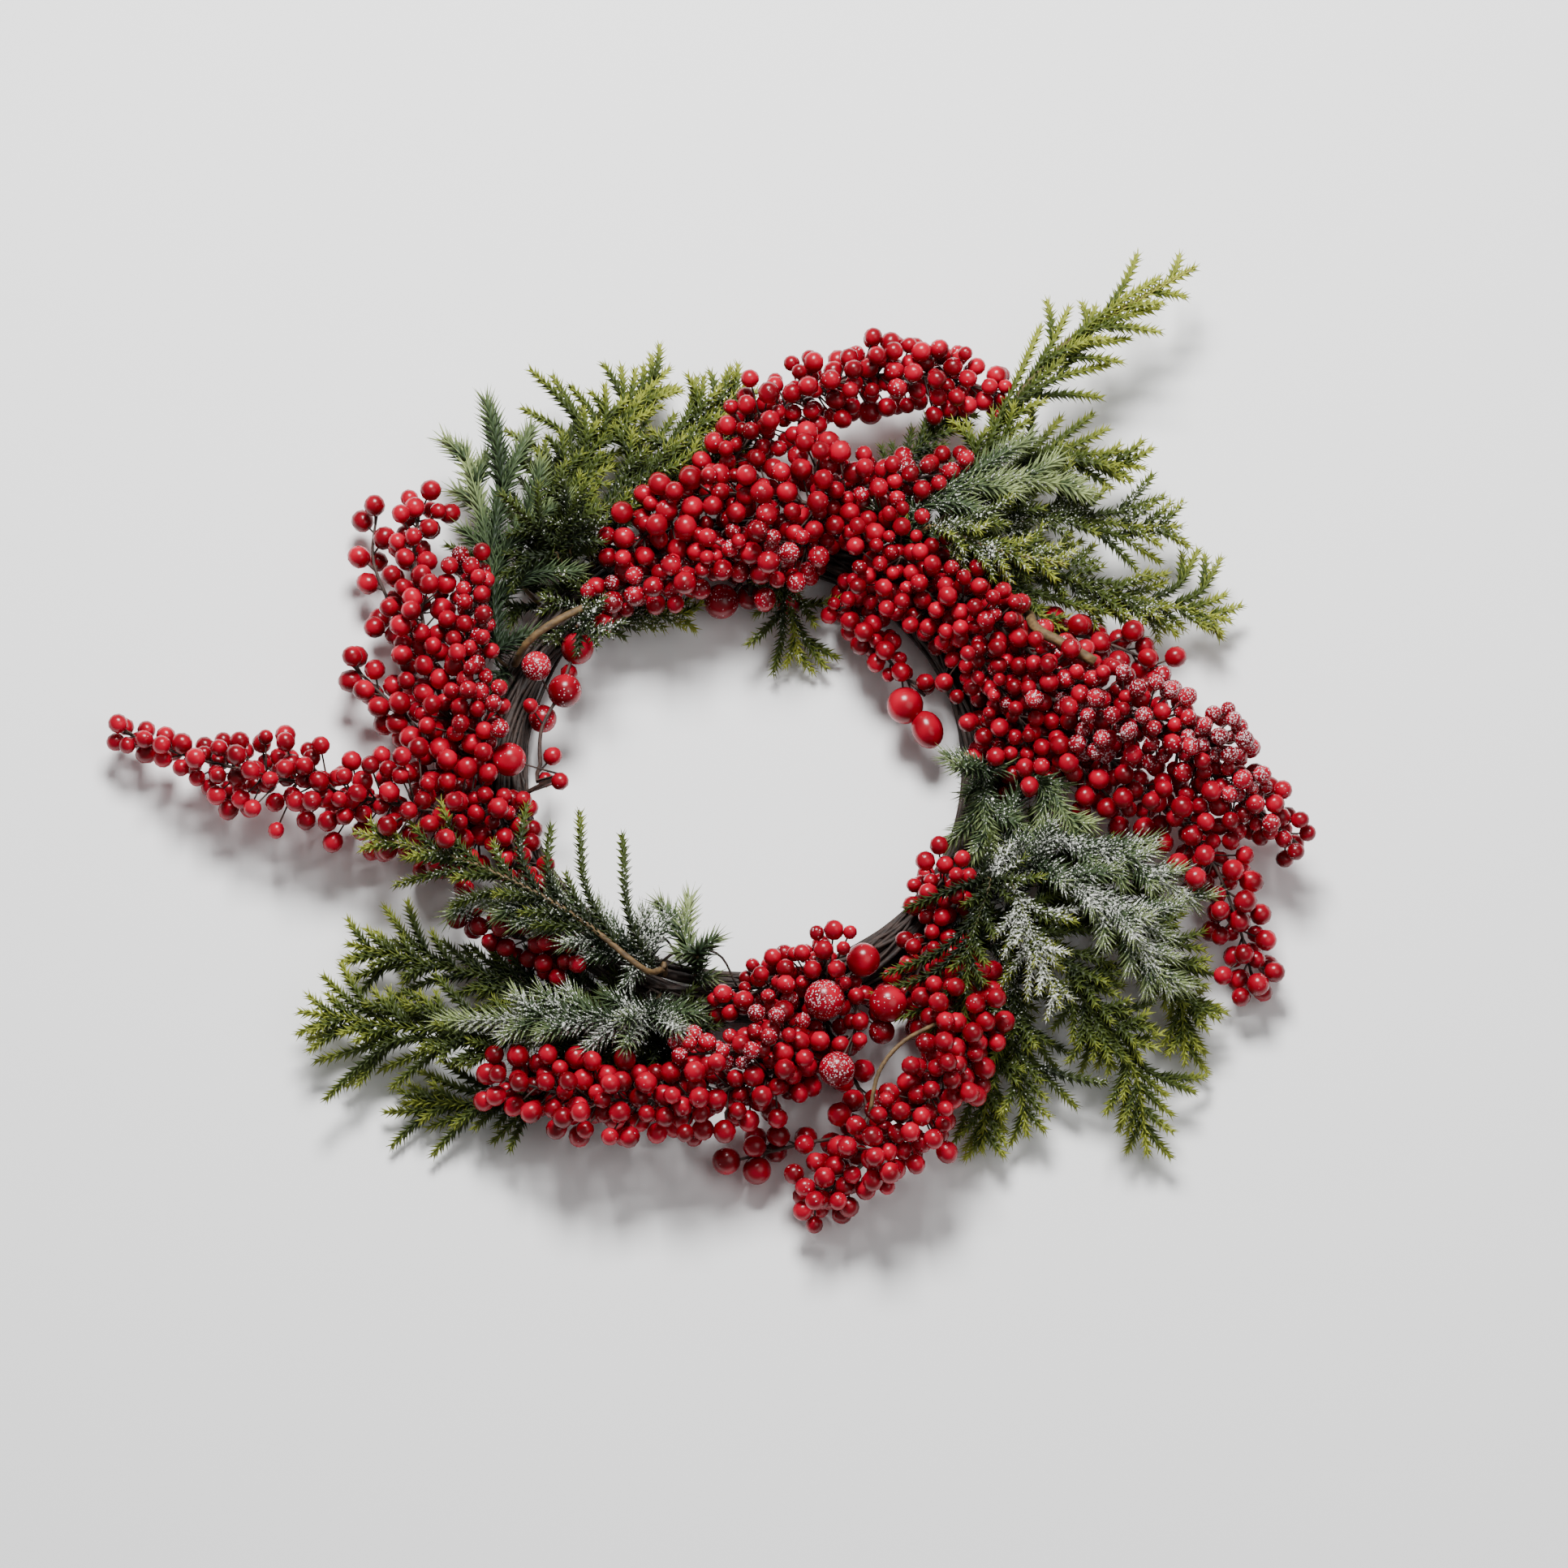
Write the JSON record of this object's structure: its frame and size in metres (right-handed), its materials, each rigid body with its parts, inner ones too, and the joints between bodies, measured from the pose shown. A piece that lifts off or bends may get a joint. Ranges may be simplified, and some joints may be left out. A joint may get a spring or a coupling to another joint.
{
  "type": "berry wreath",
  "caption": "Winter door wreath: a ring of twisted twigs with artificial pine and fir sprays, some flocked white, and stems of red berries, open in the middle.",
  "frame": {"origin": "middle of the wreath's bounding box, on the surface that the ring lies on", "axes": "+Z out of the wreath's face, +Y towards its top edge as hung, +X to the right seen from the front"},
  "size_m": [0.5966, 0.5018, 0.0771],
  "materials": {
    "berry_left_frost": "glossy red berries with frost",
    "berry_left_large": "glossy red berries",
    "berry_left_reach": "glossy red berries",
    "berry_left_under": "glossy red berries",
    "berry_left_upright": "glossy red berries",
    "berry_left_wire_low": "glossy red berries",
    "berry_left_wire_tall": "glossy red berries",
    "berry_low_frost": "glossy red berries with frost",
    "berry_low_inner_row": "glossy red berries with frost",
    "berry_low_left_main": "glossy red berries",
    "berry_low_left_row": "glossy red berries",
    "berry_low_right_inner": "glossy red berries",
    "berry_low_right_large": "glossy red berries with frost",
    "berry_low_right_main": "glossy red berries with frost",
    "berry_low_tail": "glossy red berries",
    "berry_right_band": "glossy red berries with frost",
    "berry_right_drop": "glossy red berries",
    "berry_right_inner_chain": "glossy red berries",
    "berry_right_main": "glossy red berries with frost",
    "berry_right_snowy": "glossy red berries with frost",
    "berry_right_stub": "glossy red berries",
    "berry_right_wire": "glossy red berries",
    "berry_top_arch": "glossy red berries with frost",
    "berry_top_centre": "glossy red berries",
    "berry_top_hanging": "glossy red berries",
    "berry_top_left_lower": "glossy red berries with frost",
    "berry_top_left_upper": "glossy red berries with frost",
    "berry_top_right_short": "glossy red berries with frost",
    "fir_left_inner_low": "matte green needles with frost",
    "fir_left_over_grey": "flocked white needles",
    "fir_left_over_main": "matte green needles with frost",
    "fir_low_left_flocked": "flocked white needles",
    "fir_low_left_hem": "matte green needles",
    "fir_low_left_reach": "matte green needles",
    "fir_low_left_stub": "matte green needles with frost",
    "fir_low_left_upper": "matte green needles",
    "fir_low_right_blue_inner": "matte green needles with frost",
    "fir_low_right_blue_outer": "matte green needles with frost",
    "fir_low_right_bottom": "matte green needles with frost",
    "fir_low_right_corner": "matte green needles",
    "fir_low_right_edge": "matte green needles",
    "fir_low_right_fingers": "matte green needles",
    "fir_low_right_flocked_mid": "flocked white needles",
    "fir_low_right_flocked_outer": "flocked white needles",
    "fir_low_right_tail": "matte green needles",
    "fir_low_right_white": "flocked white needles",
    "fir_right_blue": "matte green needles with frost",
    "fir_right_lower_fan": "matte green needles with frost",
    "fir_right_mid_fan": "matte green needles with frost",
    "fir_right_olive": "matte green needles with frost",
    "fir_right_tall": "matte green needles",
    "fir_right_under": "matte green needles",
    "fir_right_upper_fan": "matte green needles",
    "fir_top_dark": "matte green needles",
    "fir_top_hanging": "matte green needles",
    "fir_top_left_blue": "matte green needles",
    "fir_top_left_inner": "matte green needles with frost",
    "fir_top_left_mid": "matte green needles",
    "fir_top_left_outer": "matte green needles",
    "twig_ring": "dark twisted vine twigs"
  },
  "bodies": {
    "root": {"berry_left_frost": "berry_left_frost", "berry_left_large": "berry_left_large", "berry_left_reach": "berry_left_reach", "berry_left_under": "berry_left_under", "berry_left_upright": "berry_left_upright", "berry_left_wire_low": "berry_left_wire_low", "berry_left_wire_tall": "berry_left_wire_tall", "berry_low_frost": "berry_low_frost", "berry_low_inner_row": "berry_low_inner_row", "berry_low_left_main": "berry_low_left_main", "berry_low_left_row": "berry_low_left_row", "berry_low_right_inner": "berry_low_right_inner", "berry_low_right_large": "berry_low_right_large", "berry_low_right_main": "berry_low_right_main", "berry_low_tail": "berry_low_tail", "berry_right_band": "berry_right_band", "berry_right_drop": "berry_right_drop", "berry_right_inner_chain": "berry_right_inner_chain", "berry_right_main": "berry_right_main", "berry_right_snowy": "berry_right_snowy", "berry_right_stub": "berry_right_stub", "berry_right_wire": "berry_right_wire", "berry_top_arch": "berry_top_arch", "berry_top_centre": "berry_top_centre", "berry_top_hanging": "berry_top_hanging", "berry_top_left_lower": "berry_top_left_lower", "berry_top_left_upper": "berry_top_left_upper", "berry_top_right_short": "berry_top_right_short", "fir_left_inner_low": "fir_left_inner_low", "fir_left_over_grey": "fir_left_over_grey", "fir_left_over_main": "fir_left_over_main", "fir_low_left_flocked": "fir_low_left_flocked", "fir_low_left_hem": "fir_low_left_hem", "fir_low_left_reach": "fir_low_left_reach", "fir_low_left_stub": "fir_low_left_stub", "fir_low_left_upper": "fir_low_left_upper", "fir_low_right_blue_inner": "fir_low_right_blue_inner", "fir_low_right_blue_outer": "fir_low_right_blue_outer", "fir_low_right_bottom": "fir_low_right_bottom", "fir_low_right_corner": "fir_low_right_corner", "fir_low_right_edge": "fir_low_right_edge", "fir_low_right_fingers": "fir_low_right_fingers", "fir_low_right_flocked_mid": "fir_low_right_flocked_mid", "fir_low_right_flocked_outer": "fir_low_right_flocked_outer", "fir_low_right_tail": "fir_low_right_tail", "fir_low_right_white": "fir_low_right_white", "fir_right_blue": "fir_right_blue", "fir_right_lower_fan": "fir_right_lower_fan", "fir_right_mid_fan": "fir_right_mid_fan", "fir_right_olive": "fir_right_olive", "fir_right_tall": "fir_right_tall", "fir_right_under": "fir_right_under", "fir_right_upper_fan": "fir_right_upper_fan", "fir_top_dark": "fir_top_dark", "fir_top_hanging": "fir_top_hanging", "fir_top_left_blue": "fir_top_left_blue", "fir_top_left_inner": "fir_top_left_inner", "fir_top_left_mid": "fir_top_left_mid", "fir_top_left_outer": "fir_top_left_outer", "twig_ring": "twig_ring"}
  },
  "joints": []
}
